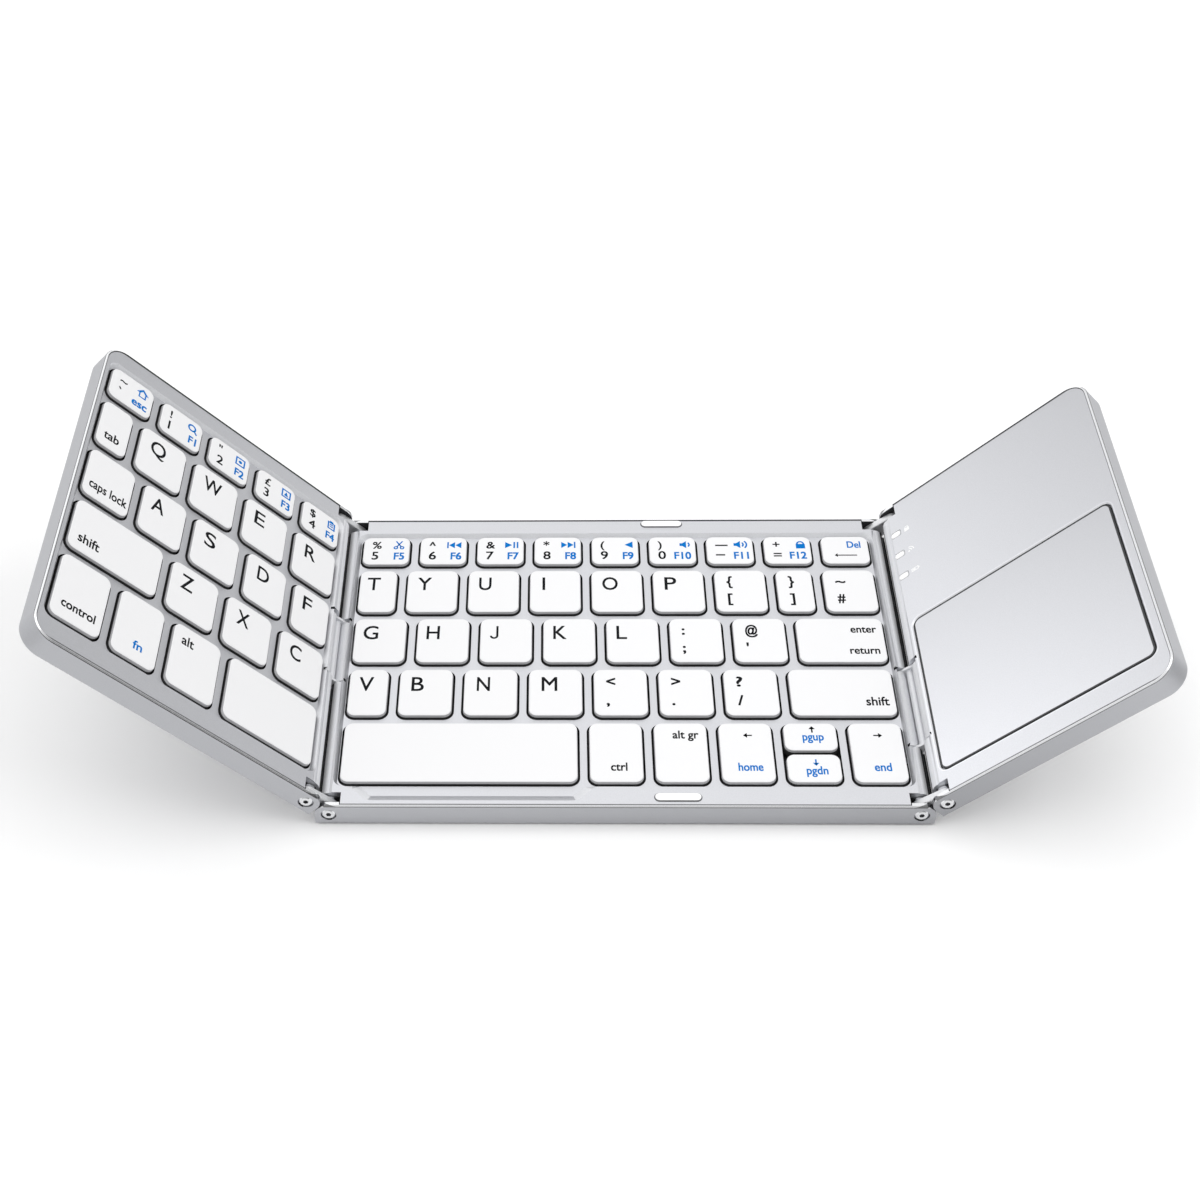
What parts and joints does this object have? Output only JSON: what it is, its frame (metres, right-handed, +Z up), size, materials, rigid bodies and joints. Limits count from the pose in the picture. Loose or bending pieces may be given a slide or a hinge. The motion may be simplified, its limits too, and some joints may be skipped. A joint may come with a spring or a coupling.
{
  "type": "folding keyboard",
  "caption": "Pocket keyboard in three hinged metal panels, with white keys on two panels and a touchpad on the third.",
  "frame": {"origin": "centre of the underside of the box round the whole keyboard, on the plane that the middle panel's feet stand on", "axes": "+X to the user's right along the middle panel, +Y to the rear, +Z up"},
  "size_m": [0.2842, 0.114, 0.0744],
  "materials": {
    "aluminium_case": "bead-blasted and clear anodised",
    "aluminium_deck": "fine satin, clear anodised",
    "steel": "polished",
    "film": "milky film",
    "foot_rubber": "soft matte",
    "pad_plastic": "glossy white",
    "touch_surface": "fine satin",
    "board": "green solder mask",
    "cell": "silver foil pouch",
    "light_plastic": "clear diffuser",
    "cable_film": "amber film",
    "cap_plastic": "matte white"
  },
  "bodies": {
    "middle_panel": {"middle_case": "aluminium_case", "middle_deck": "aluminium_deck", "middle_plate": "steel", "middle_dome_sheet": "film", "middle_feet": "foot_rubber", "middle_hinge_screws": "steel", "middle_hinge_washers": "steel", "middle_case_screws": "steel", "spacer_pads": "pad_plastic"},
    "left_link_pair": {"left_links": "steel", "left_cable_cover": "aluminium_deck", "left_hinge_cable": "cable_film"},
    "right_link_pair": {"right_links": "steel", "right_cable_cover": "aluminium_deck", "right_hinge_cable": "cable_film"},
    "left_panel": {"left_case": "aluminium_case", "left_deck": "aluminium_deck", "left_plate": "steel", "left_dome_sheet": "film", "left_feet": "foot_rubber", "left_hinge_screws": "steel", "left_hinge_washers": "steel", "left_case_screws": "steel"},
    "right_panel": {"right_case": "aluminium_case", "right_deck": "aluminium_deck", "touchpad": "touch_surface", "touch_board": "board", "main_board": "board", "battery": "cell", "indicator_lights": "light_plastic", "charging_port": "steel", "right_feet": "foot_rubber", "right_hinge_screws": "steel", "right_hinge_washers": "steel", "right_case_screws": "steel"},
    "escape_key": {"escape_key": "cap_plastic"},
    "left_number_keys": {"left_number_keys": "cap_plastic"},
    "tab_key": {"tab_key": "cap_plastic"},
    "left_top_letter_keys": {"left_top_letter_keys": "cap_plastic"},
    "caps_lock_key": {"caps_lock_key": "cap_plastic"},
    "left_home_letter_keys": {"left_home_letter_keys": "cap_plastic"},
    "left_shift_key": {"left_shift_key": "cap_plastic"},
    "left_bottom_letter_keys": {"left_bottom_letter_keys": "cap_plastic"},
    "control_key": {"control_key": "cap_plastic"},
    "function_key": {"function_key": "cap_plastic"},
    "left_alt_key": {"left_alt_key": "cap_plastic"},
    "left_space_key": {"left_space_key": "cap_plastic"},
    "middle_number_keys": {"middle_number_keys": "cap_plastic"},
    "backspace_key": {"backspace_key": "cap_plastic"},
    "middle_top_letter_keys": {"middle_top_letter_keys": "cap_plastic"},
    "middle_home_letter_keys": {"middle_home_letter_keys": "cap_plastic"},
    "enter_key": {"enter_key": "cap_plastic"},
    "middle_bottom_letter_keys": {"middle_bottom_letter_keys": "cap_plastic"},
    "right_shift_key": {"right_shift_key": "cap_plastic"},
    "right_space_key": {"right_space_key": "cap_plastic"},
    "right_modifier_keys": {"right_modifier_keys": "cap_plastic"},
    "left_arrow_key": {"left_arrow_key": "cap_plastic"},
    "up_arrow_key": {"up_arrow_key": "cap_plastic"},
    "down_arrow_key": {"down_arrow_key": "cap_plastic"},
    "right_arrow_key": {"right_arrow_key": "cap_plastic"}
  },
  "joints": [
    {"name": "left_link_swing", "type": "hinge", "parent": "middle_panel", "child": "left_link_pair", "pos_m": [-0.07247, 0, 0.00405], "axis": [0, 1, 0], "range_deg": [-43.5, 46.5]},
    {"name": "left_panel_swing", "type": "hinge", "parent": "left_link_pair", "child": "left_panel", "pos_m": [-0.07806, 0, 0.00935], "axis": [0, 1, 0], "range_deg": [-2, 88]},
    {"name": "right_link_swing", "type": "hinge", "parent": "middle_panel", "child": "right_link_pair", "pos_m": [0.08503, 0, 0.00405], "axis": [0, -1, 0], "range_deg": [-39.5, 50.5]},
    {"name": "right_panel_swing", "type": "hinge", "parent": "right_link_pair", "child": "right_panel", "pos_m": [0.09097, 0, 0.00895], "axis": [0, -1, 0], "range_deg": [-5.5, 84.5]},
    {"name": "escape_key_press", "type": "slide", "parent": "left_panel", "child": "escape_key", "axis": [-0.7133, 0, -0.7009], "range_m": [0, 0.0012], "stiffness_N_per_m": 400, "springref_m": -0.0008},
    {"name": "left_number_keys_press", "type": "slide", "parent": "left_panel", "child": "left_number_keys", "axis": [-0.7133, 0, -0.7009], "range_m": [0, 0.0012], "stiffness_N_per_m": 1600, "springref_m": -0.0008},
    {"name": "tab_key_press", "type": "slide", "parent": "left_panel", "child": "tab_key", "axis": [-0.7133, 0, -0.7009], "range_m": [0, 0.0012], "stiffness_N_per_m": 400, "springref_m": -0.0008},
    {"name": "left_top_letter_keys_press", "type": "slide", "parent": "left_panel", "child": "left_top_letter_keys", "axis": [-0.7133, 0, -0.7009], "range_m": [0, 0.0012], "stiffness_N_per_m": 1600, "springref_m": -0.0008},
    {"name": "caps_lock_key_press", "type": "slide", "parent": "left_panel", "child": "caps_lock_key", "axis": [-0.7133, 0, -0.7009], "range_m": [0, 0.0012], "stiffness_N_per_m": 400, "springref_m": -0.0008},
    {"name": "left_home_letter_keys_press", "type": "slide", "parent": "left_panel", "child": "left_home_letter_keys", "axis": [-0.7133, 0, -0.7009], "range_m": [0, 0.0012], "stiffness_N_per_m": 1600, "springref_m": -0.0008},
    {"name": "left_shift_key_press", "type": "slide", "parent": "left_panel", "child": "left_shift_key", "axis": [-0.7133, 0, -0.7009], "range_m": [0, 0.0012], "stiffness_N_per_m": 400, "springref_m": -0.0008},
    {"name": "left_bottom_letter_keys_press", "type": "slide", "parent": "left_panel", "child": "left_bottom_letter_keys", "axis": [-0.7133, 0, -0.7009], "range_m": [0, 0.0012], "stiffness_N_per_m": 1200, "springref_m": -0.0008},
    {"name": "control_key_press", "type": "slide", "parent": "left_panel", "child": "control_key", "axis": [-0.7133, 0, -0.7009], "range_m": [0, 0.0012], "stiffness_N_per_m": 400, "springref_m": -0.0008},
    {"name": "function_key_press", "type": "slide", "parent": "left_panel", "child": "function_key", "axis": [-0.7133, 0, -0.7009], "range_m": [0, 0.0012], "stiffness_N_per_m": 400, "springref_m": -0.0008},
    {"name": "left_alt_key_press", "type": "slide", "parent": "left_panel", "child": "left_alt_key", "axis": [-0.7133, 0, -0.7009], "range_m": [0, 0.0012], "stiffness_N_per_m": 400, "springref_m": -0.0008},
    {"name": "left_space_key_press", "type": "slide", "parent": "left_panel", "child": "left_space_key", "axis": [-0.7133, 0, -0.7009], "range_m": [0, 0.0012], "stiffness_N_per_m": 400, "springref_m": -0.0008},
    {"name": "middle_number_keys_press", "type": "slide", "parent": "middle_panel", "child": "middle_number_keys", "axis": [0, 0, -1], "range_m": [0, 0.0012], "stiffness_N_per_m": 3200, "springref_m": -0.0008},
    {"name": "backspace_key_press", "type": "slide", "parent": "middle_panel", "child": "backspace_key", "axis": [0, 0, -1], "range_m": [0, 0.0012], "stiffness_N_per_m": 400, "springref_m": -0.0008},
    {"name": "middle_top_letter_keys_press", "type": "slide", "parent": "middle_panel", "child": "middle_top_letter_keys", "axis": [0, 0, -1], "range_m": [0, 0.0012], "stiffness_N_per_m": 3600, "springref_m": -0.0008},
    {"name": "middle_home_letter_keys_press", "type": "slide", "parent": "middle_panel", "child": "middle_home_letter_keys", "axis": [0, 0, -1], "range_m": [0, 0.0012], "stiffness_N_per_m": 2800, "springref_m": -0.0008},
    {"name": "enter_key_press", "type": "slide", "parent": "middle_panel", "child": "enter_key", "axis": [0, 0, -1], "range_m": [0, 0.0012], "stiffness_N_per_m": 400, "springref_m": -0.0008},
    {"name": "middle_bottom_letter_keys_press", "type": "slide", "parent": "middle_panel", "child": "middle_bottom_letter_keys", "axis": [0, 0, -1], "range_m": [0, 0.0012], "stiffness_N_per_m": 2800, "springref_m": -0.0008},
    {"name": "right_shift_key_press", "type": "slide", "parent": "middle_panel", "child": "right_shift_key", "axis": [0, 0, -1], "range_m": [0, 0.0012], "stiffness_N_per_m": 400, "springref_m": -0.0008},
    {"name": "right_space_key_press", "type": "slide", "parent": "middle_panel", "child": "right_space_key", "axis": [0, 0, -1], "range_m": [0, 0.0012], "stiffness_N_per_m": 400, "springref_m": -0.0008},
    {"name": "right_modifier_keys_press", "type": "slide", "parent": "middle_panel", "child": "right_modifier_keys", "axis": [0, 0, -1], "range_m": [0, 0.0012], "stiffness_N_per_m": 800, "springref_m": -0.0008},
    {"name": "left_arrow_key_press", "type": "slide", "parent": "middle_panel", "child": "left_arrow_key", "axis": [0, 0, -1], "range_m": [0, 0.0012], "stiffness_N_per_m": 400, "springref_m": -0.0008},
    {"name": "up_arrow_key_press", "type": "slide", "parent": "middle_panel", "child": "up_arrow_key", "axis": [0, 0, -1], "range_m": [0, 0.0012], "stiffness_N_per_m": 400, "springref_m": -0.0008},
    {"name": "down_arrow_key_press", "type": "slide", "parent": "middle_panel", "child": "down_arrow_key", "axis": [0, 0, -1], "range_m": [0, 0.0012], "stiffness_N_per_m": 400, "springref_m": -0.0008},
    {"name": "right_arrow_key_press", "type": "slide", "parent": "middle_panel", "child": "right_arrow_key", "axis": [0, 0, -1], "range_m": [0, 0.0012], "stiffness_N_per_m": 400, "springref_m": -0.0008}
  ]
}
